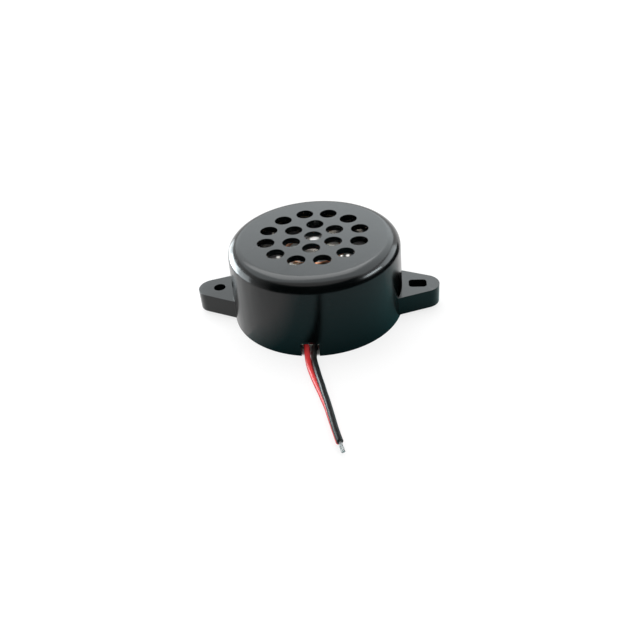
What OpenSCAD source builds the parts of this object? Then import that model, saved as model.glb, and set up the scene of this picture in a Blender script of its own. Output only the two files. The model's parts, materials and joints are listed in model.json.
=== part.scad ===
// Cased mini speaker: a moulded round housing with two mounting ears, a 28 mm film-cone
// driver clamped under its perforated lid, a back cover, and a red and a black lead.
// Millimetres. Z is up, the case stands on z = 0, the ears lie along X, the leads leave at -Y.

/* [Housing] */
// Height from the rim it stands on to the face of the lid
body_h = 15.9; // [15:0.1:22]
// How much further out the wall is at its foot, for mould release
draft = 0.35; // [0:0.05:0.6]
// Thickness of the side wall round the driver's seat
seat_wall = 2.25; // [1.8:0.05:3]
// Thickness of the side wall below the seat
wall_t = 1.3; // [1:0.1:1.4]
// Thickness of the lid
lid_t = 1.2; // [0.8:0.1:1.6]
// Outer radius of the shoulder between wall and lid
shoulder_r = 2.6; // [1:0.1:3]

/* [Sound holes] */
// Diameter of every sound hole
hole_d = 3.4; // [2:0.1:3.6]
// Radius of the inner ring of holes
inner_ring_r = 4.6; // [4:0.1:5]
// Holes in the inner ring
inner_ring_n = 6; // [3:1:6]
// Radius of the outer ring of holes
outer_ring_r = 9.2; // [9:0.1:9.8]
// Holes in the outer ring
outer_ring_n = 12; // [6:1:12]

/* [Mounting ears] */
// Distance from the case's wall to the middle of an ear's hole or slot
ear_out = 3.3; // [3:0.1:8]
// Diameter of the round hole
ear_hole_d = 2.4; // [1.6:0.1:2.8]
// Length of the slot
slot_l = 3.5; // [2.8:0.1:4]
// Width of the slot
slot_w = 2.6; // [1.6:0.1:2.8]
// Radius of the slot's corners
slot_corner_r = 0.7; // [0.2:0.1:0.7]
// Width of an ear where it grows out of the wall
ear_root_w = 10.8; // [8:0.2:14]
// Radius of an ear's rounded tip
ear_tip_r = 3; // [2.4:0.1:3.6]
// How far the centre of that tip lies beyond the hole
ear_tip_out = 1.3; // [0.5:0.1:2]
// Thickness of an ear
ear_t = 3.95; // [2:0.05:5]
// Height of an ear's underside above the rim
ear_lift = 0.6; // [0:0.1:3]

/* [Lead notch] */
// Width of the notch in the rim
notch_w = 3.4; // [3.2:0.1:5]
// Height of the notch
notch_h = 2.7; // [1.8:0.1:3]
// How far the notch lies to the side of the middle, towards the round hole
notch_side = 0.3; // [0.2:0.1:0.4]

/* [Back cover] */
// Thickness of the back cover
cover_t = 1.1; // [0.8:0.1:1.4]
// How far the cover is sunk into the rim
cover_sink = 0.2; // [0:0.1:0.5]
// Gap all round between the cover and the bore
cover_gap = 0.05; // [0.05:0.05:0.2]
// Thickness of the clamp ribs that hold the driver up
rib_t = 1.2; // [0.8:0.1:1.4]
// Arc that each clamp rib covers, in degrees
rib_arc = 28; // [16:2:40]
// Number of clamp ribs
rib_n = 4; // [4:4:4]

/* [Driver frame] */
// Outer diameter of the driver
driver_d = 28.6; // [28:0.1:28.8]
// Gap all round between the driver and its seat
driver_gap = 0.15; // [0.05:0.05:0.3]
// Depth of the seat below the lid
seat_h = 3.2; // [2:0.1:4]
// Thickness of the foam gasket
gasket_t = 0.8; // [0.6:0.1:1.2]
// Thickness of the front ring
ring_t = 0.4; // [0.2:0.1:0.6]
// Width of the frame's flange, which the ring and the gasket share
flange_w = 1.7; // [1.5:0.1:1.8]
// Sheet thickness of the frame
frame_t = 0.4; // [0.3:0.1:0.6]
// Height of the frame from its floor to the flange
frame_h = 2.8; // [2.6:0.1:3.4]
// Diameter of the vents in the frame's floor
vent_d = 2; // [1:0.1:2.6]
// Thickness of the felt over the vents
felt_t = 0.2; // [0.1:0.05:0.4]

/* [Diaphragm] */
// Thickness of the film
film_t = 0.1; // [0.08:0.01:0.15]
// Width of the half roll that lets the film move
roll_w = 2; // [1.2:0.1:2.2]
// Height of the half roll
roll_h = 0.5; // [0.2:0.05:0.6]
// Height of the dome over the voice coil
dome_h = 0.9; // [0.4:0.05:1]
// How far the film's middle lies below its rim
film_drop = 0.2; // [0.1:0.05:0.3]

/* [Magnet system] */
// Mean diameter of the voice coil
coil_d = 11.3; // [11:0.1:11.6]
// Thickness of the winding
coil_t = 0.4; // [0.3:0.05:0.5]
// Height of the winding
coil_h = 1.9; // [1.4:0.1:2.2]
// Running gap between the winding and the iron, on each side
coil_gap = 0.25; // [0.2:0.05:0.3]
// Wall of the pot
pot_wall = 0.9; // [0.7:0.1:1.1]
// Floor of the pot
pot_floor = 0.8; // [0.6:0.1:1.2]
// Height of the magnet
magnet_h = 2; // [1.8:0.1:2.6]
// How much wider the pole plate is than the magnet, on the radius
magnet_in = 0.3; // [0.1:0.1:0.6]
// Thickness of the pole plate
pole_t = 0.8; // [0.6:0.1:1]
// How far the pot's rim lies below the film
pot_below_film = 0.4; // [0.4:0.05:0.6]

/* [Terminal board] */
// Thickness of the board
board_t = 0.8; // [0.6:0.1:1]
// Arc that the board covers, in degrees
board_arc = 64; // [56:2:72]
// Distance between the middles of the two pads
pad_pitch = 4.6; // [4.2:0.1:5]
// Size of a pad across the board
pad_w = 2.4; // [2:0.1:2.6]
// Size of a pad along the radius
pad_l = 2.2; // [2:0.1:2.4]
// Thickness of the copper
pad_t = 0.1; // [0.05:0.01:0.15]
// How far outside the middle of the frame's floor the pads sit
pad_out = 0.3; // [0.2:0.05:0.5]
// Radius of a solder joint on its pad
solder_r = 1.1; // [1:0.05:1.2]
// Height of a solder joint
solder_h = 0.95; // [0.9:0.05:1.05]

/* [Leads] */
// Diameter over the insulation
lead_d = 1.1; // [0.9:0.05:1.1]
// Diameter of the tinned strands
core_d = 0.5; // [0.3:0.05:0.5]
// Bare length at the free end
bare_l = 2.2; // [1:0.1:3]
// Bare length at the soldered end
solder_l = 1.4; // [1:0.1:1.6]
// Diameter of the voice coil's own tails
tail_d = 0.16; // [0.1:0.02:0.2]

/* [Hidden] */
$fn = 96;

CUT = 1;                // how far a cutting shape runs past what it cuts
SIDES = 8;              // sides of a swept lead or wire
WIRE_AIR = 0.02;        // air between a coil tail and what it passes
BEND_ROOM = 2;          // how far inside the bore the leads rise off the floor
BEAD = [3, 1.6, 1.7];   // half length, half depth and height of the adhesive bead
BEAD_AT = 6;            // the point of the red lead's route that the bead surrounds

// Housing
seat_r = driver_d / 2 + driver_gap;
body_r = seat_r + seat_wall;             // outside of the wall where it meets the shoulder
foot_r = body_r + draft;
bore_r = body_r - wall_t;
lid_z = body_h - lid_t;                  // underside of the lid
ear_x = body_r + ear_out;
tip_x = ear_x + ear_tip_out;
root_x = sqrt(pow(body_r, 2) - pow(ear_root_w / 2, 2));

// Driver, hung from the lid
ring_z = lid_z - gasket_t - ring_t;      // underside of the front ring
film_z = ring_z - film_t;                // underside of the film's rim
flange_z = film_z - frame_t;             // underside of the flange
driver_r = driver_d / 2;
flange_r = driver_r - flange_w;          // inner edge of the flange
basket_r = flange_r - frame_t;           // inside of the frame's wall
floor_z = film_z - frame_h;              // underside of the frame's floor
coil_z = film_z - film_drop;             // the film's seat on the coil
coil_in_r = (coil_d - coil_t) / 2;
coil_out_r = (coil_d + coil_t) / 2;
pole_r = coil_in_r - coil_gap;
pot_in_r = coil_out_r + coil_gap;
pot_r = pot_in_r + pot_wall;
pot_top = coil_z - pot_below_film;
magnet_z = pot_top - pole_t - magnet_h;
pot_z = magnet_z - pot_floor;
roll_in_r = basket_r - roll_w;
floor_mid_r = (pot_r + flange_r) / 2;    // middle of the frame's floor

// Terminal board
board_z = floor_z - board_t;
pad_z = board_z - pad_t;
tail_hole_d = 0.8;
tail_in = 0.12;                          // how far a coil tail reaches into its solder joint
board_air = 0.3;                         // air between the board and the pot
pad_r = floor_mid_r + pad_out;

// Back cover
cover_top = cover_sink + cover_t;
rib_in = 0.1;                            // how far the clamp ribs stand inside the driver's edge
rib_r = driver_r - rib_in;

// Vents, spread over the arc that the board leaves free
VENT_N = 6;
vent_clear = 28;                         // degrees between the board and the first vent
vent_first = -90 + board_arc / 2 + vent_clear;
vent_step = (360 - board_arc - 2 * vent_clear) / (VENT_N - 1);

// Routes of the leads, from the terminal board to the free end. Inside the case each one
// turns down behind the driver, then out through the notch and along the floor.
// The black lead lies beside the red one at the wall and climbs onto it further out.
RED_ROUTE = [
  [-2.3, -11.3, 9.1], [-2.3, -12.5, 8.95], [-2.25, -13.5, 8.15], [-2.15, -14, 6.9],
  [-1.95, -14, 5], [-1.6, -14, 3.3], [-1.35, -14.35, 1.95], [-1.15, -15.35, 0.95],
  [-0.95, -16.7, 0.55], [-0.6, -18.8, 0.55], [-0.1, -20.9, 0.55], [0.85, -23.8, 0.55],
  [1.6, -25.8, 0.55], [2.35, -27.7, 0.55], [3, -29.5, 0.55], [3.7, -31.4, 0.55],
  [4.35, -33.6, 0.55], [5, -35.8, 0.55], [5.6, -37.8, 0.55], [6.1, -39.4, 0.55]];
BLACK_ROUTE = [
  [2.3, -11.3, 9.1], [2.3, -12.5, 8.95], [2.2, -13.5, 8.15], [2, -14, 6.9],
  [1.65, -14, 5], [1.15, -14, 3.3], [0.7, -14.35, 1.95], [0.45, -15.35, 0.95],
  [0.35, -16.7, 0.6], [0.45, -18.4, 0.65], [0.85, -20.4, 0.95], [1.35, -22.5, 1.3],
  [1.95, -24.8, 1.45], [2.55, -26.9, 1.6], [3.05, -28.8, 1.7], [3.6, -30.6, 1.7],
  [4.1, -32.4, 1.7], [4.55, -34.1, 1.7], [5, -35.8, 1.7], [5.45, -37.5, 1.7],
  [5.9, -39, 1.7], [6.35, -40.4, 1.7]];

function unit(v) = v / norm(v);
function tangent(p, i) = unit(p[min(i + 1, len(p) - 1)] - p[max(i - 1, 0)]);

// A ring of points round route point i, square to the route, with its first point towards +X
function ring(p, i, r) =
  let (t = tangent(p, i), side = unit([1, 0, 0] - t * t[0]), up = cross(side, t))
  [for (k = [0 : SIDES - 1]) p[i] + r * (cos(360 * k / SIDES) * side + sin(360 * k / SIDES) * up)];

// A route carried straight on at both ends
function longer(p, before, after) =
  let (n = len(p) - 1)
  concat([p[0] - before * tangent(p, 0)], p, [p[n] + after * tangent(p, n)]);

// Two triangles for each side between one ring of points and the next
function skin(first, second) =
  [for (k = [0 : SIDES - 1]) let (m = (k + 1) % SIDES)
    each [[first + k, second + m, second + k], [first + k, first + m, second + m]]];

// A solid round wire along a route
module wire(p, d) {
  n = len(p);
  points = [for (i = [0 : n - 1]) each ring(p, i, d / 2)];
  walls = [for (i = [0 : n - 2]) each skin(i * SIDES, (i + 1) * SIDES)];
  ends = [[for (k = [SIDES - 1 : -1 : 0]) k], [for (k = [0 : SIDES - 1]) (n - 1) * SIDES + k]];
  polyhedron(points, concat(walls, ends));
}

// A hollow tube along a route: the outer rings come first, then the inner ones
module tube(p, d, bore_d) {
  n = len(p);
  inner = n * SIDES;
  points = concat(
    [for (i = [0 : n - 1]) each ring(p, i, d / 2)],
    [for (i = [0 : n - 1]) each ring(p, i, bore_d / 2)]);
  outer_walls = [for (i = [0 : n - 2]) each skin(i * SIDES, (i + 1) * SIDES)];
  inner_walls = [for (i = [0 : n - 2], t = skin(inner + i * SIDES, inner + (i + 1) * SIDES))
    [t[2], t[1], t[0]]];
  near_end = skin(inner, 0);
  far_end = skin((n - 1) * SIDES, inner + (n - 1) * SIDES);
  polyhedron(points, concat(outer_walls, inner_walls, near_end, far_end));
}

// A flat washer standing on z
module washer(outer_r, inner_r, t, z) {
  translate([0, 0, z])
    difference() {
      cylinder(r = outer_r, h = t);
      translate([0, 0, -CUT]) cylinder(r = inner_r, h = t + 2 * CUT);
    }
}

// A wedge of the given arc, centred on the -Y direction
module front_wedge(arc, reach, h) {
  x = reach * tan(arc / 2);
  linear_extrude(h) polygon([[0, 0], [-x, -reach], [x, -reach]]);
}

// Copies the children to both sides of the middle, at the pads
module at_pads() {
  for (side = [-1, 1]) translate([side * pad_pitch / 2, -pad_r, 0]) children();
}

// The outside of the round case, turned about its axis
module body_outline() {
  rotate_extrude() {
    polygon([[0, 0], [foot_r, 0], [body_r, body_h - shoulder_r], [0, body_h - shoulder_r]]);
    square([body_r - shoulder_r, body_h]);
    intersection() {
      translate([body_r - shoulder_r, body_h - shoulder_r]) circle(r = shoulder_r);
      square([body_r, body_h]);
    }
  }
}

// One ear's plan on the +X side: straight flanks that run tangent into a round tip
module ear_plan() {
  reach = norm([tip_x - root_x, ear_root_w / 2]);
  flank = asin(ear_tip_r / reach) - atan2(ear_root_w / 2, tip_x - root_x);
  touch_x = tip_x - ear_tip_r * sin(flank);
  touch_y = ear_tip_r * cos(flank);
  polygon([[0, -ear_root_w / 2], [root_x, -ear_root_w / 2], [touch_x, -touch_y],
    [touch_x, touch_y], [root_x, ear_root_w / 2], [0, ear_root_w / 2]]);
  translate([tip_x, 0]) circle(r = ear_tip_r);
}

module sound_hole() {
  translate([0, 0, lid_z - CUT]) cylinder(d = hole_d, h = lid_t + 2 * CUT);
}

module sound_holes() {
  sound_hole();
  for (k = [0 : inner_ring_n - 1])
    rotate(90 + k * 360 / inner_ring_n) translate([inner_ring_r, 0, 0]) sound_hole();
  for (k = [0 : outer_ring_n - 1])
    rotate(75 + k * 360 / outer_ring_n) translate([outer_ring_r, 0, 0]) sound_hole();
}

// The radial slot in the +X ear, a rectangle with rounded corners
module ear_slot() {
  x = slot_l / 2 - slot_corner_r;
  y = slot_w / 2 - slot_corner_r;
  translate([ear_x, 0, ear_lift - CUT])
    linear_extrude(ear_t + 2 * CUT) {
      square([slot_l, 2 * y], center = true);
      square([2 * x, slot_w], center = true);
      for (i = [-1, 1], j = [-1, 1]) translate([i * x, j * y]) circle(r = slot_corner_r);
    }
}

// The way out for the leads, cut inwards from outside the wall
module lead_way(height) {
  translate([-notch_side - notch_w / 2, -foot_r - CUT, -CUT])
    cube([notch_w, foot_r + CUT - bore_r + BEND_ROOM, height + CUT]);
}

module housing() {
  color([0.03, 0.035, 0.035])
    difference() {
      union() {
        body_outline();
        for (side = [0, 180])
          rotate(side) translate([0, 0, ear_lift]) linear_extrude(ear_t) ear_plan();
      }
      translate([0, 0, -CUT]) cylinder(r = bore_r, h = lid_z - seat_h + CUT);
      translate([0, 0, -CUT]) cylinder(r = seat_r, h = lid_z + CUT);
      sound_holes();
      translate([-ear_x, 0, ear_lift - CUT]) cylinder(d = ear_hole_d, h = ear_t + 2 * CUT);
      ear_slot();
      lead_way(notch_h);
    }
}

// Disc that closes the case, with ribs that clamp the driver against the lid
module back_cover() {
  color([0.05, 0.05, 0.055]) {
    difference() {
      translate([0, 0, cover_sink]) cylinder(r = bore_r - cover_gap, h = cover_t);
      lead_way(cover_top + CUT);
    }
    for (k = [0 : rib_n - 1])
      rotate(45 + k * 360 / rib_n)
        intersection() {
          washer(rib_r, rib_r - rib_t, flange_z - cover_top, cover_top);
          translate([0, 0, cover_top]) front_wedge(rib_arc, driver_d, flange_z - cover_top);
        }
  }
}

module front_gasket() {
  color([0.09, 0.09, 0.09]) washer(driver_r, flange_r, gasket_t, lid_z - gasket_t);
}

module front_ring() {
  color([0.72, 0.70, 0.62]) washer(driver_r, flange_r, ring_t, ring_z);
}

// Underside of the film at radius r
function film_low(r) =
  r >= basket_r ? film_z :
  r >= roll_in_r ? film_z + roll_h * sin(180 * (basket_r - r) / roll_w) :
  r >= coil_out_r ? film_z - film_drop * (roll_in_r - r) / (roll_in_r - coil_out_r) :
  r >= coil_in_r ? coil_z :
  coil_z + dome_h * (1 - pow(r / coil_in_r, 2));

// One pressed film: flat rim, half roll, shallow cone, coil seat and dome
module diaphragm() {
  roll_steps = 8;
  dome_steps = 8;
  radii = concat(
    [for (i = [0 : dome_steps]) coil_in_r * i / dome_steps],
    [coil_out_r],
    [for (i = [0 : roll_steps]) roll_in_r + roll_w * i / roll_steps],
    [driver_r]);
  last = len(radii) - 1;
  color([0.75, 0.72, 0.68])
    rotate_extrude()
      polygon(concat(
        [for (i = [0 : last]) [radii[i], film_low(radii[i])]],
        [for (i = [last : -1 : 0]) [radii[i], film_low(radii[i]) + film_t]]));
}

// Pressed steel frame: flange, wall and a floor with vents and a hole for the pot
module driver_frame() {
  color([0.55, 0.55, 0.56])
    difference() {
      union() {
        washer(driver_r, basket_r, frame_t, flange_z);
        washer(flange_r, basket_r, frame_h, floor_z);
        washer(flange_r, pot_r, frame_t, floor_z);
      }
      for (k = [0 : VENT_N - 1])
        rotate(vent_first + k * vent_step) translate([floor_mid_r, 0, floor_z - CUT])
          cylinder(d = vent_d, h = frame_t + 2 * CUT);
      tail_holes();
    }
}

// Holes that bring the coil's tails through the floor, the felt, the board and the pads
module tail_holes() {
  at_pads() translate([0, 0, pad_z - CUT])
    cylinder(d = tail_hole_d, h = floor_z + frame_t + felt_t - pad_z + 2 * CUT);
}

module vent_felt() {
  color([0.12, 0.12, 0.12])
    difference() {
      washer(basket_r, pot_r + board_air, felt_t, floor_z + frame_t);
      tail_holes();
    }
}

module pot() {
  color([0.62, 0.62, 0.63])
    difference() {
      translate([0, 0, pot_z]) cylinder(r = pot_r, h = pot_top - pot_z);
      translate([0, 0, magnet_z]) cylinder(r = pot_in_r, h = pot_top - magnet_z + CUT);
    }
}

module magnet() {
  color([0.7, 0.7, 0.72])
    translate([0, 0, magnet_z]) cylinder(r = pole_r - magnet_in, h = magnet_h);
}

module pole_plate() {
  color([0.6, 0.6, 0.62])
    translate([0, 0, magnet_z + magnet_h]) cylinder(r = pole_r, h = pole_t);
}

module voice_coil() {
  color([0.72, 0.38, 0.2]) washer(coil_out_r, coil_in_r, coil_h, coil_z - coil_h);
}

// A tail's route: out from the coil under the film, then down through the frame to its pad
function tail_route(side) =
  let (
    x = side * pad_pitch / 2,
    high = coil_z - tail_d / 2 - WIRE_AIR,
    start = coil_out_r + WIRE_AIR,
    low = pad_z - tail_in)
  [[x / 2, -start, high], [x * 0.75, -pot_r, high], [x * 0.95, -pad_r + 1, high - 0.25],
    [x, -pad_r + 0.25, high - 0.8], [x, -pad_r, high - 1.5], [x, -pad_r, floor_z],
    [x, -pad_r, low]];

module coil_tail_red() {
  color([0.72, 0.38, 0.2]) wire(tail_route(-1), tail_d);
}

module coil_tail_black() {
  color([0.72, 0.38, 0.2]) wire(tail_route(1), tail_d);
}

// Paper-laminate board bonded under the frame's floor, between the pot and the flange
module terminal_board() {
  color([0.35, 0.2, 0.1])
    difference() {
      intersection() {
        washer(flange_r - board_air, pot_r + board_air, board_t, board_z);
        translate([0, 0, board_z]) front_wedge(board_arc, driver_r, board_t);
      }
      tail_holes();
    }
}

module solder_pads() {
  color([0.75, 0.45, 0.25])
    difference() {
      at_pads() translate([-pad_w / 2, -pad_l / 2, pad_z]) cube([pad_w, pad_l, pad_t]);
      tail_holes();
    }
}

// A domed joint hanging from its pad, round the lead's strands and the coil's tail
module solder_joint(side, route) {
  ball_r = (pow(solder_r, 2) + pow(solder_h, 2)) / (2 * solder_h);
  color([0.72, 0.73, 0.75])
    difference() {
      intersection() {
        translate([side * pad_pitch / 2, -pad_r, pad_z - solder_h + ball_r])
          sphere(r = ball_r, $fn = 32);
        translate([side * pad_pitch / 2 - 2 * solder_r, -pad_r - 2 * solder_r, pad_z - 2 * solder_r])
          cube([4 * solder_r, 4 * solder_r, 2 * solder_r]);
      }
      wire(longer(route, solder_l, bare_l), core_d);
      wire(tail_route(side), tail_d);
    }
}

module solder_joint_red() {
  solder_joint(-1, RED_ROUTE);
}

module solder_joint_black() {
  solder_joint(1, BLACK_ROUTE);
}

module red_lead() {
  color([0.8, 0.05, 0.05]) tube(RED_ROUTE, lead_d, core_d);
}

module red_strands() {
  color([0.75, 0.75, 0.77]) wire(longer(RED_ROUTE, solder_l, bare_l), core_d);
}

module black_lead() {
  color([0.04, 0.04, 0.04]) tube(BLACK_ROUTE, lead_d, core_d);
}

module black_strands() {
  color([0.75, 0.75, 0.77]) wire(longer(BLACK_ROUTE, solder_l, bare_l), core_d);
}

// A bead of hot-melt on the cover that grips both leads behind the notch
module lead_adhesive() {
  color([0.8, 0.78, 0.7])
    difference() {
      intersection() {
        translate([-notch_side, RED_ROUTE[BEAD_AT].y, cover_top])
          scale(BEAD) sphere(r = 1, $fn = 24);
        translate([0, 0, cover_top]) cylinder(r = bore_r - cover_gap, h = 2 * BEAD[2], $fn = 64);
      }
      wire(RED_ROUTE, lead_d);
      wire(BLACK_ROUTE, lead_d);
    }
}

housing();
back_cover();
front_gasket();
front_ring();
diaphragm();
driver_frame();
vent_felt();
pot();
magnet();
pole_plate();
voice_coil();
coil_tail_red();
coil_tail_black();
terminal_board();
solder_pads();
solder_joint_red();
solder_joint_black();
red_lead();
red_strands();
black_lead();
black_strands();
lead_adhesive();
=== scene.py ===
"""Cased mini speaker: surfaces, leads, cone and studio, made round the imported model."""
import json
from math import atan2, cos, pi, radians, sin, tau

import bmesh
import bpy
from mathutils import Matrix, Vector
from mathutils.geometry import interpolate_bezier
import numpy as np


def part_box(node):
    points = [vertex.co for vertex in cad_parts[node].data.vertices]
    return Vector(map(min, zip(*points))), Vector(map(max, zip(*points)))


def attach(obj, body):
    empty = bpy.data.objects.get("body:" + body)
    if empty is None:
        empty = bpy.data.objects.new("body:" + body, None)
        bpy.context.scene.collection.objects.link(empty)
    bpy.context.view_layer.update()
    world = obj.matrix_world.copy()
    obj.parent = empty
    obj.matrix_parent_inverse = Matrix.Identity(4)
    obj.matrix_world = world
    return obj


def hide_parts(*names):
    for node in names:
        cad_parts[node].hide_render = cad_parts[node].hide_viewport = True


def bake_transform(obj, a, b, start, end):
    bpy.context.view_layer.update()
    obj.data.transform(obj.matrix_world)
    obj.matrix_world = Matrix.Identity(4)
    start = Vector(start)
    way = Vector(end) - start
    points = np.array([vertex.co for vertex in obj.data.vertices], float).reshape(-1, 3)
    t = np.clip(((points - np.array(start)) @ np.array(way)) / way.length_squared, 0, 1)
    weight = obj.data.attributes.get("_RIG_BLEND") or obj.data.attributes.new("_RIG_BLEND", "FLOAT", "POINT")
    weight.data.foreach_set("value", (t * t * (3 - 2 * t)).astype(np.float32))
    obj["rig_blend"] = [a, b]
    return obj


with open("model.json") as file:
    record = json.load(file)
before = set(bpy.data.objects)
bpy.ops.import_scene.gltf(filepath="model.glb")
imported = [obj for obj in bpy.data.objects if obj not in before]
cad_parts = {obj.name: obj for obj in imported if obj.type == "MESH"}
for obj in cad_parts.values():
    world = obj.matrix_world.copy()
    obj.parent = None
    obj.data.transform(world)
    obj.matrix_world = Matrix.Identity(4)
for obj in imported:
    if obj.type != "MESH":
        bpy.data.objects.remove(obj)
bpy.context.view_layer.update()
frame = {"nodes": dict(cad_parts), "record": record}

nodes = frame["nodes"]

# Camera: a short lens looking down on the lid, a little from the right of the leads
CAMERA_AT = (0.01434, -0.11747, 0.08136)
CAMERA_TURN = (54.055, 4.089, 4.042)      # degrees about X, Y and Z
LENS = 39.4

# Leads, in metres, from the terminal board inside the case to the free end
LEAD_D = 0.0011
CORE_D = 0.0005
BARE = 0.0022                             # strands showing beyond the insulation
SOLDERED = 0.0014                         # strands reaching into the solder
STRAND_LAY = 0.006                        # length in which the strands turn once
STRETCH_POINTS = 7                        # smooth points from one point of a route to the next
RED_ROUTE = [
    (-0.0023, -0.0113, 0.0091), (-0.0023, -0.0125, 0.00895), (-0.00225, -0.0135, 0.00815),
    (-0.00215, -0.014, 0.0069), (-0.00195, -0.014, 0.005), (-0.0016, -0.014, 0.0033),
    (-0.00135, -0.01435, 0.00195), (-0.00115, -0.01535, 0.00095), (-0.00095, -0.0167, 0.00055),
    (-0.0006, -0.0188, 0.00055), (-0.0001, -0.0209, 0.00055), (0.00085, -0.0238, 0.00055),
    (0.0016, -0.0258, 0.00055), (0.00235, -0.0277, 0.00055), (0.003, -0.0295, 0.00055),
    (0.0037, -0.0314, 0.00055), (0.00435, -0.0336, 0.00055), (0.005, -0.0358, 0.00055),
    (0.0056, -0.0378, 0.00055), (0.0061, -0.0394, 0.00055)]
BLACK_ROUTE = [
    (0.0023, -0.0113, 0.0091), (0.0023, -0.0125, 0.00895), (0.0022, -0.0135, 0.00815),
    (0.002, -0.014, 0.0069), (0.00165, -0.014, 0.005), (0.00115, -0.014, 0.0033),
    (0.0007, -0.01435, 0.00195), (0.00045, -0.01535, 0.00095), (0.00035, -0.0167, 0.0006),
    (0.00045, -0.0184, 0.00065), (0.00085, -0.0204, 0.00095), (0.00135, -0.0225, 0.0013),
    (0.00195, -0.0248, 0.00145), (0.00255, -0.0269, 0.0016), (0.00305, -0.0288, 0.0017),
    (0.0036, -0.0306, 0.0017), (0.0041, -0.0324, 0.0017), (0.00455, -0.0341, 0.0017),
    (0.005, -0.0358, 0.0017), (0.00545, -0.0375, 0.0017), (0.0059, -0.039, 0.0017),
    (0.00635, -0.0404, 0.0017)]

# Cone and coil
FILM = 0.0001                             # thickness of the film
ROLL_W = 0.002                            # half roll between the rim and the cone
ROLL_H = 0.0005
DOME_H = 0.0009
ROLL_STEPS = 12                           # points across the half roll
CONE_STEPS = 14                           # points down the cone, and as many across the dome
CREASES = 30                              # pressed creases round the cone
CREASE_H = 0.00002
COIL_TURNS = 14
TURN_STEPS = 6                            # points round the outside of one turn of wire
COIL_WALL = 0.0004                        # thickness of the winding
TAIL_D = 0.00016
TAIL_AIR = 0.00002                        # between a tail and what it passes
TAIL_BEND = 0.001                         # size of a tail's bend down to its pad
TAIL_IN_SOLDER = 0.00012

# White dabs painted on the film as glints (painted highlights), each lit by its own narrow beam,
# the first on the dome and the rest outside the coil: x, y, radius, and the energy of the beam that lights
# the dab
GLINT_DABS = (
    (0, 0.0021, 0.0011, 8.0),
    (0.0067, -0.0034, 0.0005, 8.0),
    (0.0055, -0.0034, 0.00035, 0.4),
    (-0.0066, -0.0034, 0.0005, 4.5))
GLINT_DAB_EDGE = 0.0002                         # width in which a dab thins out
GLINT_DAB_Z = 0.014                             # height that the beams aim at
GLINT_DAB_LAMP = (0.035, -0.28, 0.19)           # way from a dab to its lamp
GLINT_DAB_SPILL = 0.0008                        # a beam's reach beyond a dab's width

# How far the edges of each CAD piece are rounded
EDGES = {
    "housing": 0.00015, "back_cover": 0.0001, "driver_frame": 0.0001, "pot": 0.00015,
    "magnet": 0.0002, "pole_plate": 0.0001, "terminal_board": 0.00006,
    "front_ring": 0.00006, "front_gasket": 0.0001}
FLAT = 0.5                                # degrees, up to which two faces are one
SHARP = 28                                # degrees, from which an edge is rounded
CLOSE = 0.000001                          # points nearer than this are one

# Studio: the world and a key box light everything, and beams light what is matt.
# The other boxes of light, and the cards, are seen only in reflections.
COOL = (0.9, 1.0, 1.04)
WHITE = (1.0, 1.0, 1.0)
WORLD = 0.95
FLOOR_SIZE = 2.0
FLOOR_DROP = 0.00002
FLOOR_GLOW = 0.75                         # how far the floor is lifted to white
FOOT_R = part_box("housing")[1].y           # radius of the case at its foot
FOOT_SHADE = 0.0006                       # width under the foot in which the floor's glow ends
KEY_AT = (-0.1, 0.3, 0.6)                 # place of the key box, which faces the case
CEILING = 0.5                             # height of the lowest overhead boxes

# Overhead boxes: x, y, width, depth, height over the ceiling, radiance
OVERHEAD_BOXES = {
    "overhead_front": (0, 0.085, 1.4, 0.53, 0, 1.62),
    "overhead_back": (0, 0.585, 1.4, 0.47, 0, 1.15),
    "rear": (0, 1.12, 1.4, 0.6, 0, 1.62),
    "fill_middle": (0.29, 0.885, 0.82, 1.07, 0.01, 0.2),
    "fill_right": (0.36, 0.885, 0.68, 1.07, 0.02, 0.5)}

# Boxes round the case: azimuth and elevation in degrees, distance, (width, height), radiance
SIDE_BOXES = {
    "left_back": (-56, 13.3, 0.05, (0.0125, 0.023), 4.0),
    "left": (-76, 13.3, 0.05, (0.0215, 0.023), 13.0),
    "left_front": (-99, 13.3, 0.05, (0.019, 0.023), 4.0),
    "right": (99, 15.5, 0.35, (0.16, 0.06), 13.0),
    "right_back": (63, 14, 0.35, (0.24, 0.16), 3.0)}

# Cards bent round the case: (radius, height) of two edges, middle's azimuth and spread in degrees
CARDS = {
    "curtain": ((0.046, 0), (0.046, 0.042), 184, 132),
    "low_curtain": ((0.044, 0), (0.044, 0.015), 92, 76),
    # The ear card is painted shade at the right ear's root, which only the case's mirroring shows
    "ear_shade_card": ((0.0168, 0.0046), (0.024, 0.0046), 90, 40),
    # The apron is a painted shadow of the floor at the case's foot, which only the case's mirroring shows
    "shadow_apron": ((FOOT_R, 0.00003), (0.05, 0.00003), 142, 180),
    # The lead card paints a dark reflection over the leads, which only the case's mirroring shows
    "lead_streak_card": ((FOOT_R + 0.0004, 0.0028), (0.055, 0.0028), 177, 30)}
BLACK = (0, 0, 0)
# Colour of the apron's painted floor shadow, which tints the case's wall as it mirrors it
SHADOW_TEAL = (0.02, 0.26, 0.28)
EAR_TAPER = 0.43                          # how fast the ear card narrows outwards
EAR_FLANK = 0.012                         # half its width, carried in to the case's axis
LEADS_FROM = (-0.0003, -0.0167)           # line of the leads on the floor, x and y
LEADS_TO = (0.0109, -0.0567)


# ---------------------------------------------------------------- camera

def add_camera():
    data = bpy.data.cameras.new("camera")
    data.lens = LENS
    data.clip_start = 0.005
    camera = bpy.data.objects.new("camera", data)
    camera.location = CAMERA_AT
    camera.rotation_euler = [radians(a) for a in CAMERA_TURN]
    bpy.context.scene.collection.objects.link(camera)
    bpy.context.scene.camera = camera


# ---------------------------------------------------------------- shared effects

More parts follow.
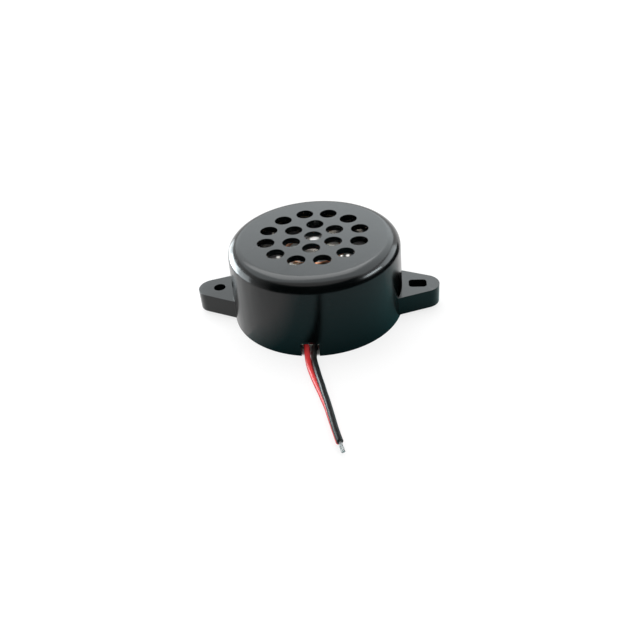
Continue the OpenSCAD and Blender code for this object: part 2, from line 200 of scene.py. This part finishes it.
def new_group(name, inputs, outputs):
    """An empty node group with a Place vector, float inputs with defaults, and float outputs."""
    group = bpy.data.node_groups.new(name, "ShaderNodeTree")
    group.interface.new_socket("Place", in_out="INPUT", socket_type="NodeSocketVector")
    for label, value in inputs.items():
        socket = group.interface.new_socket(label, in_out="INPUT", socket_type="NodeSocketFloat")
        socket.default_value = value
    for label in outputs:
        group.interface.new_socket(label, in_out="OUTPUT", socket_type="NodeSocketFloat")
    start = group.nodes.new("NodeGroupInput")
    end = group.nodes.new("NodeGroupOutput")
    return group, start, end


def wire(tree, value, socket):
    """Sets a socket from a number, or links it to another socket."""
    if isinstance(value, (int, float)):
        socket.default_value = value
    else:
        tree.links.new(value, socket)


def noise(tree, place, scale, detail=2.0, roughness=0.5):
    node = tree.nodes.new("ShaderNodeTexNoise")
    node.inputs["Detail"].default_value = detail
    node.inputs["Roughness"].default_value = roughness
    tree.links.new(place, node.inputs["Vector"])
    wire(tree, scale, node.inputs["Scale"])
    return node.outputs["Fac"]


def sums(tree, operation, a, b=0.0):
    node = tree.nodes.new("ShaderNodeMath")
    node.operation = operation
    wire(tree, a, node.inputs[0])
    wire(tree, b, node.inputs[1])
    return node.outputs[0]


def span(tree, value, low, high, out_low=0.0, out_high=1.0):
    """Spreads the stretch low..high of a value over out_low..out_high, and stops at both ends."""
    node = tree.nodes.new("ShaderNodeMapRange")
    wire(tree, value, node.inputs["Value"])
    ends = {"From Min": low, "From Max": high, "To Min": out_low, "To Max": out_high}
    for label, end in ends.items():
        wire(tree, end, node.inputs[label])
    return node.outputs["Result"]


def axis_distance(tree, place):
    """How far a place lies from the upright axis."""
    flat = tree.nodes.new("ShaderNodeVectorMath")
    flat.operation = "MULTIPLY"
    flat.inputs[1].default_value = (1, 1, 0)
    tree.links.new(place, flat.inputs[0])
    length = tree.nodes.new("ShaderNodeVectorMath")
    length.operation = "LENGTH"
    tree.links.new(flat.outputs["Vector"], length.inputs[0])
    return length.outputs["Value"]


def make_moulding():
    """Skin of a moulding: a fine sparked grain over a slow waviness, and a slow change of gloss."""
    sizes = {"Grain": 9000.0, "Wave": 350.0}
    group, start, end = new_group("moulding", sizes, ("Height", "Gloss"))
    place = start.outputs["Place"]
    grain = noise(group, place, start.outputs["Grain"], 3.0, 0.6)
    wave = noise(group, place, start.outputs["Wave"], 1.0)
    patch = noise(group, place, sums(group, "MULTIPLY", start.outputs["Wave"], 0.6), 4.0, 0.65)
    height = sums(group, "ADD", sums(group, "MULTIPLY", wave, 4.0), grain)
    group.links.new(height, end.inputs["Height"])
    group.links.new(span(group, patch, 0.3, 0.7), end.inputs["Gloss"])
    return group


def make_dust():
    """Fine dust and hair scratches: Dust lies on what faces up, Scratch is anywhere."""
    group, start, end = new_group("dust", {"Amount": 0.5}, ("Dust", "Scratch"))
    place = start.outputs["Place"]
    geometry = group.nodes.new("ShaderNodeNewGeometry")
    split = group.nodes.new("ShaderNodeSeparateXYZ")
    group.links.new(geometry.outputs["Normal"], split.inputs[0])
    up = span(group, split.outputs["Z"], 0.6, 1.0)
    specks = span(group, noise(group, place, 4200.0, 1.0), 0.72, 0.8)
    drift = span(group, noise(group, place, 140.0, 3.0), 0.35, 0.75)
    dust = sums(group, "MULTIPLY", sums(group, "MULTIPLY", specks, up), drift)
    group.links.new(sums(group, "MULTIPLY", dust, start.outputs["Amount"]), end.inputs["Dust"])
    stretch = group.nodes.new("ShaderNodeMapping")
    stretch.inputs["Rotation"].default_value = (0.2, 0.1, 0.7)
    stretch.inputs["Scale"].default_value = (60.0, 2600.0, 900.0)
    group.links.new(place, stretch.inputs["Vector"])
    lines = span(group, noise(group, stretch.outputs["Vector"], 1.0, 1.0), 0.68, 0.74)
    group.links.new(sums(group, "MULTIPLY", lines, start.outputs["Amount"]), end.inputs["Scratch"])
    return group


def make_turning():
    """Rings that turning or pressing leaves on a round metal piece, broken up by a fine grain."""
    sizes = {"Rings": 9000.0, "Grain": 6000.0}
    group, start, end = new_group("turning", sizes, ("Height", "Shade"))
    place = start.outputs["Place"]
    spread = group.nodes.new("ShaderNodeCombineXYZ")
    group.links.new(axis_distance(group, place), spread.inputs["X"])
    rings = noise(group, spread.outputs["Vector"], start.outputs["Rings"], 3.0, 0.7)
    grain = noise(group, place, start.outputs["Grain"], 2.0)
    height = sums(group, "ADD", rings, sums(group, "MULTIPLY", grain, 0.4))
    group.links.new(height, end.inputs["Height"])
    group.links.new(span(group, rings, 0.35, 0.65), end.inputs["Shade"])
    return group


# ---------------------------------------------------------------- materials

def new_material(name):
    """A material, its shader and the object coordinates that every finish reads."""
    material = bpy.data.materials.new(name)
    material.use_nodes = True
    tree = material.node_tree
    shader = tree.nodes["Principled BSDF"]
    place = tree.nodes.new("ShaderNodeTexCoord").outputs["Object"]
    return material, tree, shader, place


def use(tree, group, place, **values):
    """A group in a material, with its inputs set by name."""
    node = tree.nodes.new("ShaderNodeGroup")
    node.node_tree = group
    tree.links.new(place, node.inputs["Place"])
    for label, value in values.items():
        node.inputs[label].default_value = value
    return node.outputs


def blend_colours(tree, mask, first, second):
    """The first where the mask is 0 and the second where it is 1; each is a colour or a socket."""
    node = tree.nodes.new("ShaderNodeMix")
    node.data_type = "RGBA"
    tree.links.new(mask, node.inputs["Factor"])
    # Of the node's sockets, 6 and 7 in and 2 out are its colours
    for socket, colour in ((node.inputs[6], first), (node.inputs[7], second)):
        if isinstance(colour, tuple):
            socket.default_value = (*colour, 1)
        else:
            tree.links.new(colour, socket)
    return node.outputs[2]


def bump(tree, shader, height, depth):
    node = tree.nodes.new("ShaderNodeBump")
    node.inputs["Distance"].default_value = depth
    tree.links.new(height, node.inputs["Height"])
    tree.links.new(node.outputs["Normal"], shader.inputs["Normal"])


def moulded_plastic(name, dark, light, gloss, specular, relief):
    """Black moulded plastic; gloss is its lowest and highest roughness."""
    material, tree, shader, place = new_material(name)
    skin = use(tree, MOULDING, place)
    marks = use(tree, DUST, place, Amount=0.35)
    worn = blend_colours(tree, skin["Gloss"], dark, light)
    dusty = blend_colours(tree, marks["Dust"], worn, (0.16, 0.16, 0.155))
    tree.links.new(dusty, shader.inputs["Base Color"])
    rough = span(tree, skin["Gloss"], 0.0, 1.0, *gloss)
    rough = sums(tree, "ADD", rough, sums(tree, "MULTIPLY", marks["Scratch"], 0.12))
    rough = sums(tree, "ADD", rough, sums(tree, "MULTIPLY", marks["Dust"], 0.5))
    tree.links.new(rough, shader.inputs["Roughness"])
    shader.inputs["Specular IOR Level"].default_value = specular
    bump(tree, shader, skin["Height"], relief)
    return material


def pvc(name, dark, light, roughness, specular):
    """Extruded insulation, with faint flow marks and finger gloss."""
    material, tree, shader, place = new_material(name)
    flow = noise(tree, place, 900.0, 3.0, 0.6)
    marbled = blend_colours(tree, span(tree, flow, 0.3, 0.7), dark, light)
    tree.links.new(marbled, shader.inputs["Base Color"])
    gloss = span(tree, flow, 0.25, 0.75, roughness, roughness + 0.1)
    tree.links.new(gloss, shader.inputs["Roughness"])
    shader.inputs["Specular IOR Level"].default_value = specular
    bump(tree, shader, noise(tree, place, 2600.0, 2.0), 0.00001)
    return material


def bare_metal(name, dark, light, roughness, rings=9000.0, relief=0.000004, coat=0.0):
    """Plated or turned metal; coat is a clear enamel over it."""
    material, tree, shader, place = new_material(name)
    marks = use(tree, TURNING, place, Rings=rings)
    tree.links.new(blend_colours(tree, marks["Shade"], dark, light), shader.inputs["Base Color"])
    gloss = span(tree, marks["Shade"], 0, 1, roughness, roughness + 0.12)
    tree.links.new(gloss, shader.inputs["Roughness"])
    shader.inputs["Metallic"].default_value = 1.0
    shader.inputs["Coat Weight"].default_value = coat
    bump(tree, shader, marks["Height"], relief)
    return material


def fibrous(name, dark, light, grain, relief, roughness=0.9, sheen=0.0):
    """Foam, felt, card and laminate: a mottled matt body with a rough face."""
    material, tree, shader, place = new_material(name)
    fibres = noise(tree, place, grain, 4.0, 0.7)
    mottle = noise(tree, place, grain / 6, 2.0)
    shade = span(tree, sums(tree, "ADD", fibres, mottle), 0.7, 1.3)
    tree.links.new(blend_colours(tree, shade, dark, light), shader.inputs["Base Color"])
    gloss = span(tree, fibres, 0, 1, roughness, min(1.0, roughness + 0.1))
    tree.links.new(gloss, shader.inputs["Roughness"])
    shader.inputs["Specular IOR Level"].default_value = 0.3
    shader.inputs["Sheen Weight"].default_value = sheen
    bump(tree, shader, fibres, relief)
    return material


def clear_of_glint_dabs(tree, place):
    """1 on the bare film and 0 on the dabs painted as glints."""
    clear = 1.0
    for x, y, radius, _ in GLINT_DABS:
        shift = tree.nodes.new("ShaderNodeVectorMath")
        shift.operation = "SUBTRACT"
        shift.inputs[1].default_value = (x, y, 0)
        tree.links.new(place, shift.inputs[0])
        away = axis_distance(tree, shift.outputs["Vector"])
        clear = sums(tree, "MULTIPLY", clear, span(tree, away, radius - GLINT_DAB_EDGE, radius))
    return clear


def clear_film():
    """Thin amber film, which mirrors more the flatter it is looked along, with white dabs painted on it as
    glints.
    """
    material, tree, shader, place = new_material("clear_film")
    haze = noise(tree, place, 700.0, 3.0, 0.6)
    amber = blend_colours(tree, haze, (0.95, 0.78, 0.62), (1.0, 0.9, 0.8))
    # The dabs are white, matt and opaque patches painted on the film as glints
    clear = clear_of_glint_dabs(tree, place)
    glint_dabbed = blend_colours(tree, clear, (0.86, 0.86, 0.84), amber)
    tree.links.new(glint_dabbed, shader.inputs["Base Color"])
    tree.links.new(clear, shader.inputs["Metallic"])
    tree.links.new(span(tree, haze, 0.3, 0.7, 0.08, 0.16), shader.inputs["Roughness"])
    facing = tree.nodes.new("ShaderNodeLayerWeight")
    grazing = sums(tree, "POWER", facing.outputs["Facing"], 5.0)
    mirror = span(tree, grazing, 0.0, 1.0, 0.02, 0.7)
    tree.links.new(span(tree, clear, 0.0, 1.0, 1.0, mirror), shader.inputs["Alpha"])
    bump(tree, shader, haze, 0.00002)
    return material


def hot_melt():
    """Milky glue, a little see-through."""
    material, tree, shader, place = new_material("hot_melt")
    cloud = noise(tree, place, 800.0, 3.0)
    milky = blend_colours(tree, cloud, (0.74, 0.71, 0.62), (0.86, 0.84, 0.77))
    tree.links.new(milky, shader.inputs["Base Color"])
    shader.inputs["Roughness"].default_value = 0.35
    shader.inputs["Subsurface Weight"].default_value = 0.4
    shader.inputs["Subsurface Radius"].default_value = (0.001, 0.0009, 0.0007)
    shader.inputs["Subsurface Scale"].default_value = 1.0
    bump(tree, shader, cloud, 0.00003)
    return material


# ---------------------------------------------------------------- building

def add_piece(name, mesh, slot, replaced):
    """A finished mesh as a piece of the speaker, in the place of the CAD nodes it stands for."""
    mesh.shade_smooth()
    mesh.materials.append(MATERIALS[slot])
    piece = bpy.data.objects.new(name, mesh)
    bpy.context.scene.collection.objects.link(piece)
    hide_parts(*replaced)
    return piece


def as_mesh(name, bm):
    mesh = bpy.data.meshes.new(name)
    bmesh.ops.recalc_face_normals(bm, faces=bm.faces)
    bm.to_mesh(mesh)
    bm.free()
    return mesh


def turned(profile, steps):
    """A closed outline of (radius, height) points turned round the Z axis."""
    bm = bmesh.new()
    corners = [bm.verts.new((r, 0, z)) for r, z in profile]
    edges = [bm.edges.new((a, b)) for a, b in zip(corners, corners[1:] + corners[:1])]
    bmesh.ops.spin(bm, geom=corners + edges, cent=(0, 0, 0), axis=(0, 0, 1), dvec=(0, 0, 0),
                   angle=tau, steps=steps, use_merge=True)
    bmesh.ops.remove_doubles(bm, verts=bm.verts, dist=CLOSE)
    return bm


def soften(node, width):
    """Rounds a CAD node's sharp edges, as moulding and pressing leave them."""
    piece = nodes[node]
    weld = piece.modifiers.new("weld", "WELD")
    weld.merge_threshold = CLOSE
    flat = piece.modifiers.new("flat", "DECIMATE")
    flat.decimate_type = "DISSOLVE"
    flat.angle_limit = radians(FLAT)
    edges = piece.modifiers.new("edges", "BEVEL")
    edges.width = width
    edges.segments = 2
    edges.limit_method = "ANGLE"
    edges.angle_limit = radians(SHARP)
    normals = piece.modifiers.new("normals", "WEIGHTED_NORMAL")
    normals.keep_sharp = True
    piece.data.shade_smooth()


def finish(node, slot):
    """Gives a CAD node the material of its slot."""
    data = nodes[node].data
    data.materials.clear()
    data.materials.append(MATERIALS[slot])


# ---------------------------------------------------------------- leads

def smooth_route(route, lowest):
    """Close points on a smooth curve through the route's points, none below the height lowest."""
    points = [Vector(p) for p in route]
    ends = [2 * points[0] - points[1]] + points + [2 * points[-1] - points[-2]]
    found = [points[0]]
    for before, a, b, after in zip(ends, ends[1:], ends[2:], ends[3:]):
        leave = a + (b - before) / 6
        arrive = b - (after - a) / 6
        found += interpolate_bezier(a, leave, arrive, b, STRETCH_POINTS)[1:]
    for point in found:
        point.z = max(point.z, lowest)
    return found


def tube(name, paths, diameter, sides, capped=True):
    """A mesh of round tubes that follow the given paths."""
    curve = bpy.data.curves.new(name, "CURVE")
    curve.dimensions = "3D"
    curve.bevel_depth = diameter / 2
    curve.bevel_resolution = sides // 2 - 2
    curve.use_fill_caps = capped
    for path in paths:
        spline = curve.splines.new("POLY")
        spline.points.add(len(path) - 1)
        for point, place in zip(spline.points, path):
            point.co = (*place, 1)
    drawn = bpy.data.objects.new(name, curve)
    mesh = bpy.data.meshes.new_from_object(drawn)
    bpy.data.objects.remove(drawn)
    mesh.name = name
    mesh.materials.clear()
    return mesh


def strand_paths(line):
    """One straight strand and six twisted round it, as wide as the core together."""
    across = Vector((1, 0, 0))
    gone = 0.0
    paths = [list(line)] + [[] for k in range(6)]
    for i, point in enumerate(line):
        before, after = line[max(i - 1, 0)], line[min(i + 1, len(line) - 1)]
        along = (after - before).normalized()
        across = (across - along * across.dot(along)).normalized()
        up = along.cross(across)
        gone += (point - before).length
        for k in range(6):
            angle = tau * (k / 6 + gone / STRAND_LAY)
            paths[k + 1].append(point + CORE_D / 3 * (cos(angle) * across + sin(angle) * up))
    return paths


def lead(colour, route):
    """Insulation and twisted strands of one lead, along its route."""
    line = smooth_route(route, lowest=LEAD_D / 2)
    sleeve = tube(colour + "_jacket", [line], LEAD_D, sides=24, capped=False)
    jacket = add_piece(colour + "_jacket", sleeve, colour + "_pvc", [colour + "_lead"])
    wall = jacket.modifiers.new("wall", "SOLIDIFY")
    wall.thickness = (LEAD_D - CORE_D) / 2
    wall.offset = -1.0
    ends = jacket.modifiers.new("ends", "BEVEL")
    ends.width = 0.00005
    ends.segments = 2
    ends.limit_method = "ANGLE"
    ends.angle_limit = radians(60)
    inward = (line[0] - line[1]).normalized()
    outward = (line[-1] - line[-2]).normalized()
    inner = [line[0] + inward * SOLDERED * part / 4 for part in range(4, 0, -1)]
    outer = [line[-1] + outward * BARE * part / 8 for part in range(1, 9)]
    strands = tube(colour + "_core", strand_paths(inner + line + outer), CORE_D / 3, sides=8)
    core = add_piece(colour + "_core", strands, "tinned_copper", [colour + "_strands"])
    for piece in (jacket, core):
        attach(piece, "case")


# ---------------------------------------------------------------- cone, coil and tails

def film_profile():
    """The film's lower outline, from rim to middle, and the radii of the half roll and the seat."""
    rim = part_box("diaphragm")[1].x
    rim_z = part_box("front_ring")[0].z - FILM
    roll_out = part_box("vent_felt")[1].x
    roll_in = roll_out - ROLL_W
    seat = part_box("voice_coil")[1]
    dome_r = seat.x - COIL_WALL
    drop = rim_z - seat.z
    line = [(rim, rim_z)]
    for part in (k / ROLL_STEPS for k in range(ROLL_STEPS)):
        line.append((roll_out - ROLL_W * part, rim_z + ROLL_H * sin(pi * part)))
    for part in (k / CONE_STEPS for k in range(CONE_STEPS + 1)):
        line.append((roll_in + (seat.x - roll_in) * part, rim_z - drop * part))
    for part in (k / CONE_STEPS for k in range(CONE_STEPS + 1)):
        line.append((dome_r * (1 - part), seat.z + DOME_H * (1 - (1 - part) ** 2)))
    return line, roll_in, roll_out, seat.x


def add_film():
    """The film with its pressed creases; the cone moves with the coil, and the rim stays."""
    lower, roll_in, roll_out, seat_r = film_profile()
    upper = [(r, z + FILM) for r, z in reversed(lower)]
    bm = turned(lower + upper, steps=180)
    for vert in bm.verts:
        r = vert.co.xy.length
        if seat_r < r < roll_in:
            part = (r - seat_r) / (roll_in - seat_r)
            turn = CREASES * vert.co.xy.angle_signed(Vector((1, 0)))
            vert.co.z += CREASE_H * sin(turn) * sin(pi * part) ** 0.5
    film = add_piece("film", as_mesh("film", bm), "clear_film", ["diaphragm"])
    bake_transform(film, "coil", "case", start=(roll_in, 0, 0), end=(roll_out, 0, 0))
    # The half roll gives way all the way round, so a point's share goes by its distance from the axis
    follow = film.data.attributes["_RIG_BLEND"].data
    for vert, share in zip(film.data.vertices, follow):
        part = min(1.0, max(0.0, (vert.co.xy.length - roll_in) / (roll_out - roll_in)))
        share.value = part * part * (3 - 2 * part)


def add_coil():
    """The winding: rounded turns of enamelled wire down the outside and up the inside."""
    low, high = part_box("voice_coil")
    pitch = (high.z - low.z) / COIL_TURNS
    bulge = pitch / 4
    outer = high.x - bulge
    inner = high.x - COIL_WALL + bulge
    turns = [k / TURN_STEPS for k in range(COIL_TURNS * TURN_STEPS)]
    down = [(outer + bulge * abs(sin(pi * turn)), high.z - pitch * turn) for turn in turns]
    up = [(inner - bulge * abs(sin(pi * turn)), low.z + pitch * turn) for turn in turns]
    bm = turned(down + [(outer, low.z)] + up + [(inner, high.z)], steps=128)
    winding = add_piece("winding", as_mesh("winding", bm), "coil_copper", ["voice_coil"])
    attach(winding, "coil")


def add_tail(colour):
    """The coil's own wire, from the winding out under the film and down to its pad."""
    low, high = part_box("solder_joint_" + colour)
    x, y = (low.x + high.x) / 2, (low.y + high.y) / 2
    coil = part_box("voice_coil")[1]
    pot_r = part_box("pot")[1].x
    top = coil.z - TAIL_D / 2 - TAIL_AIR
    route = [
        (x / 2, -coil.x - TAIL_AIR, top),
        (x * 0.75, -pot_r, top),
        (x * 0.95, y + TAIL_BEND, top - TAIL_BEND / 4),
        (x, y + TAIL_BEND / 4, top - TAIL_BEND * 0.8),
        (x, y, top - TAIL_BEND * 1.5),
        (x, y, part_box("driver_frame")[0].z),
        (x, y, high.z - TAIL_IN_SOLDER)]
    strand = tube("tail_" + colour, [smooth_route(route, lowest=0)], TAIL_D, sides=8)
    tail = add_piece("tail_" + colour, strand, "coil_copper", ["coil_tail_" + colour])
    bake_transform(tail, "coil", "case", start=route[0], end=route[3])


# ---------------------------------------------------------------- studio

def light_box(name, location, turn, size, radiance, colour=COOL, for_matt=False):
    """A soft box of light, seen only in reflections unless it is for matt surfaces too."""
    data = bpy.data.lights.new(name, "AREA")
    data.shape = "RECTANGLE"
    data.size, data.size_y = size
    data.energy = radiance * size[0] * size[1] * pi
    data.color = colour
    light = bpy.data.objects.new(name, data)
    light.location = location
    light.rotation_euler = turn
    light.visible_camera = False
    light.visible_diffuse = for_matt
    bpy.context.scene.collection.objects.link(light)


def side_box(name, azimuth, elevation, distance, size, radiance):
    """A soft box that faces the case; azimuth 0 is behind it and 90 to its right."""
    a, e = radians(azimuth), radians(elevation)
    away = Vector((sin(a) * cos(e), cos(a) * cos(e), sin(e)))
    light_box(name, away * distance, away.to_track_quat("Z", "Y").to_euler(), size, radiance)


def split_place(tree, place):
    """A place's x and y."""
    split = tree.nodes.new("ShaderNodeSeparateXYZ")
    tree.links.new(place, split.inputs[0])
    return split.outputs["X"], split.outputs["Y"]


def curtain_density(tree, place):
    """Whole, but fading out towards both ends."""
    x = split_place(tree, place)[0]
    left = span(tree, x, -0.047, -0.03)
    right = span(tree, x, 0.0402, 0.036)
    return sums(tree, "MULTIPLY", left, right)


def shadow_apron_density(tree, place):
    """A painted shadow of the floor at the case's foot, seen only as the case mirrors it: densest at the
    foot, thinner further out, and fading out to the left and the back.
    """
    x, y = split_place(tree, place)
    left = span(tree, x, -0.018, -0.008)
    back = span(tree, y, 0.012, -0.004)
    out = span(tree, axis_distance(tree, place), FOOT_R, 0.04, out_low=0.95, out_high=0.56)
    return sums(tree, "MULTIPLY", sums(tree, "MULTIPLY", left, back), out)


def ear_shade_density(tree, place):
    """Painted shade at the right ear's root, seen only as the wall mirrors it: an ear's outline, seen from
    above only, so the ear under it still mirrors the boxes overhead.
    """
    x, y = split_place(tree, place)
    flank = sums(tree, "ADD", sums(tree, "ABSOLUTE", y), sums(tree, "MULTIPLY", x, EAR_TAPER))
    inside = span(tree, flank, EAR_FLANK - 0.0003, EAR_FLANK + 0.0003, out_low=1.0, out_high=0.0)
    from_below = tree.nodes.new("ShaderNodeNewGeometry").outputs["Backfacing"]
    return sums(tree, "MULTIPLY", inside, sums(tree, "SUBTRACT", 1.0, from_below))


def lead_streak_density(tree, place):
    """A soft dark strip along the leads, a painted dark reflection that the wall mirrors over them."""
    x, y = split_place(tree, place)
    middle = span(tree, y, LEADS_FROM[1], LEADS_TO[1], LEADS_FROM[0], LEADS_TO[0])
    off = sums(tree, "ABSOLUTE", sums(tree, "SUBTRACT", x, middle))
    return span(tree, off, 0.0006, 0.0022, out_low=1.0, out_high=0.0)


def add_card(name, colour=BLACK, density=None):
    """One of the cards, which only reflections show."""
    start, end, azimuth, spread = CARDS[name]
    turn = Matrix.Rotation(radians(-azimuth - spread / 2), 3, "Z")
    bm = bmesh.new()
    ends = [bm.verts.new(turn @ Vector((0, r, z))) for r, z in (start, end)]
    edge = bm.edges.new(ends)
    bmesh.ops.spin(bm, geom=[*ends, edge], cent=(0, 0, 0), axis=(0, 0, 1), dvec=(0, 0, 0),
                   angle=radians(spread), steps=48, use_merge=False)
    mesh = bpy.data.meshes.new(name)
    bm.to_mesh(mesh)
    bm.free()
    card = bpy.data.objects.new(name, mesh)
    material, tree, shader, place = new_material(name)
    shader.inputs["Base Color"].default_value = (*colour, 1)
    shader.inputs["Roughness"].default_value = 1.0
    shader.inputs["Specular IOR Level"].default_value = 0.0
    if density:
        tree.links.new(density(tree, place), shader.inputs["Alpha"])
    mesh.materials.append(material)
    card.visible_camera = False
    card.visible_diffuse = False
    card.visible_shadow = False
    bpy.context.scene.collection.objects.link(card)


def whiten(tree, shader, place):
    """Lifts the floor part of the way to white outside the case, for camera, mirrors and glass."""
    rays = tree.nodes.new("ShaderNodeLightPath").outputs
    seen = sums(tree, "MAXIMUM", rays["Is Camera Ray"], rays["Is Glossy Ray"])
    seen = sums(tree, "MAXIMUM", seen, rays["Is Transmission Ray"])
    glow = tree.nodes.new("ShaderNodeEmission")
    mix = tree.nodes.new("ShaderNodeMixShader")
    away = tree.nodes.new("ShaderNodeVectorMath")
    away.operation = "LENGTH"
    tree.links.new(place, away.inputs[0])
    inner = FOOT_R - FOOT_SHADE
    outside = span(tree, away.outputs["Value"], inner, FOOT_R, out_high=FLOOR_GLOW)
    tree.links.new(sums(tree, "MULTIPLY", seen, outside), mix.inputs["Fac"])
    tree.links.new(shader.outputs["BSDF"], mix.inputs[1])
    tree.links.new(glow.outputs["Emission"], mix.inputs[2])
    tree.links.new(mix.outputs["Shader"], tree.nodes["Material Output"].inputs["Surface"])


def add_floor():
    bm = bmesh.new()
    bmesh.ops.create_grid(bm, x_segments=1, y_segments=1, size=FLOOR_SIZE)
    mesh = bpy.data.meshes.new("floor")
    bm.to_mesh(mesh)
    bm.free()
    floor = bpy.data.objects.new("floor", mesh)
    floor.location.z = -FLOOR_DROP
    material, tree, shader, place = new_material("floor")
    shader.inputs["Base Color"].default_value = (0.93, 0.93, 0.93, 1)
    shader.inputs["Roughness"].default_value = 0.6
    shader.inputs["Specular IOR Level"].default_value = 0.2
    whiten(tree, shader, place)
    mesh.materials.append(material)
    bpy.context.scene.collection.objects.link(floor)


def add_world():
    world = bpy.data.worlds.new("world")
    bpy.context.scene.world = world
    world.use_nodes = True
    world.node_tree.nodes["Background"].inputs["Color"].default_value = (WORLD, WORLD, WORLD, 1)


def spot_light(name, location, target, radius, energy):
    """A narrow beam that lights matt surfaces within a radius of its target, and isn't mirrored."""
    data = bpy.data.lights.new(name, "SPOT")
    data.energy = energy
    data.shadow_soft_size = radius / 2
    beam = Vector(location) - Vector(target)
    data.spot_size = 2 * atan2(radius, beam.length)
    data.spot_blend = 0.5
    light = bpy.data.objects.new(name, data)
    light.location = location
    light.rotation_euler = beam.to_track_quat("Z", "Y").to_euler()
    light.visible_glossy = False
    bpy.context.scene.collection.objects.link(light)


def add_studio():
    add_floor()
    add_world()
    for name, (x, y, width, depth, lift, radiance) in OVERHEAD_BOXES.items():
        light_box(name, (x, y, CEILING + lift), (0, 0, 0), (width, depth), radiance)
    for name, (azimuth, elevation, distance, size, radiance) in SIDE_BOXES.items():
        side_box(name, azimuth, elevation, distance, size, radiance)
    key_turn = Vector(KEY_AT).to_track_quat("Z", "Y").to_euler()
    light_box("key", KEY_AT, key_turn, (0.6, 0.5), 3.0, colour=WHITE, for_matt=True)
    spot_light("lid_beam", (0.1, -0.36, 0.36), target=(0, -0.006, 0.016), radius=0.0135, energy=2.4)
    # Narrow beams light the white dabs painted on the film as glints
    for number, (x, y, radius, energy) in enumerate(GLINT_DABS):
        dab = Vector((x, y, GLINT_DAB_Z))
        lamp = dab + Vector(GLINT_DAB_LAMP)
        spot_light("glint_beam_" + str(number), lamp, dab, GLINT_DAB_SPILL + 2 * radius, energy)
    add_card("curtain", density=curtain_density)
    add_card("low_curtain")
    # Painted shade at the right ear's root, seen only in reflections
    add_card("ear_shade_card", density=ear_shade_density)
    # A painted floor shadow at the case's foot, seen only in reflections
    add_card("shadow_apron", SHADOW_TEAL, shadow_apron_density)
    # A painted dark reflection over the leads, seen only in reflections
    add_card("lead_streak_card", density=lead_streak_density)


# ---------------------------------------------------------------- the scene

MOULDING = make_moulding()
DUST = make_dust()
TURNING = make_turning()
MATERIALS = {
    "case_black": moulded_plastic(
        "case_black", dark=(0.0004, 0.0009, 0.001), light=(0.001, 0.0018, 0.002),
        gloss=(0.15, 0.21), specular=0.36, relief=0.000002),
    "cover_black": moulded_plastic(
        "cover_black", dark=(0.008, 0.01, 0.01), light=(0.014, 0.016, 0.016),
        gloss=(0.4, 0.5), specular=0.4, relief=0.00001),
    "gasket_foam": fibrous(
        "gasket_foam", dark=(0.015, 0.015, 0.015), light=(0.045, 0.045, 0.045),
        grain=5000.0, relief=0.00008),
    "ring_card": fibrous(
        "ring_card", dark=(0.3, 0.26, 0.18), light=(0.45, 0.4, 0.3),
        grain=2500.0, relief=0.00002),
    "clear_film": clear_film(),
    "plated_steel": bare_metal(
        "plated_steel", dark=(0.1, 0.1, 0.105), light=(0.16, 0.16, 0.165),
        roughness=0.4, rings=2500.0),
    "felt_black": fibrous(
        "felt_black", dark=(0.01, 0.01, 0.01), light=(0.05, 0.05, 0.05),
        grain=6000.0, relief=0.00006, sheen=0.3),
    "pot_steel": bare_metal(
        "pot_steel", dark=(0.2, 0.19, 0.18), light=(0.3, 0.29, 0.27), roughness=0.35),
    "magnet_nickel": bare_metal(
        "magnet_nickel", dark=(0.6, 0.59, 0.57), light=(0.7, 0.69, 0.67),
        roughness=0.15, rings=3000.0),
    "coil_copper": bare_metal(
        "coil_copper", dark=(0.62, 0.24, 0.11), light=(0.8, 0.36, 0.2),
        roughness=0.25, rings=3000.0, relief=0.000002, coat=0.6),
    "board_brown": fibrous(
        "board_brown", dark=(0.16, 0.08, 0.035), light=(0.26, 0.14, 0.06),
        grain=3000.0, relief=0.000015, roughness=0.5),
    "pad_copper": bare_metal(
        "pad_copper", dark=(0.6, 0.3, 0.16), light=(0.8, 0.45, 0.27),
        roughness=0.35, rings=1500.0),
    "solder": bare_metal(
        "solder", dark=(0.5, 0.5, 0.51), light=(0.72, 0.72, 0.73), roughness=0.2, rings=1200.0),
    "red_pvc": pvc(
        "red_pvc", dark=(0.7, 0.03, 0.034), light=(0.84, 0.065, 0.065),
        roughness=0.3, specular=0.5),
    "black_pvc": pvc(
        "black_pvc", dark=(0.006, 0.006, 0.0065), light=(0.018, 0.0175, 0.017),
        roughness=0.34, specular=0.5),
    "tinned_copper": bare_metal(
        "tinned_copper", dark=(0.5, 0.49, 0.48), light=(0.7, 0.69, 0.68),
        roughness=0.3, rings=4000.0),
    "hot_melt": hot_melt()}

add_camera()
lead("red", RED_ROUTE)
lead("black", BLACK_ROUTE)
add_film()
add_coil()
for colour in ("red", "black"):
    add_tail(colour)
for part in frame["record"]["subparts"]:
    finish(part["node"], part["material_slot"])
for node, width in EDGES.items():
    soften(node, width)
add_studio()
bpy.context.scene.view_settings.view_transform = "Standard"
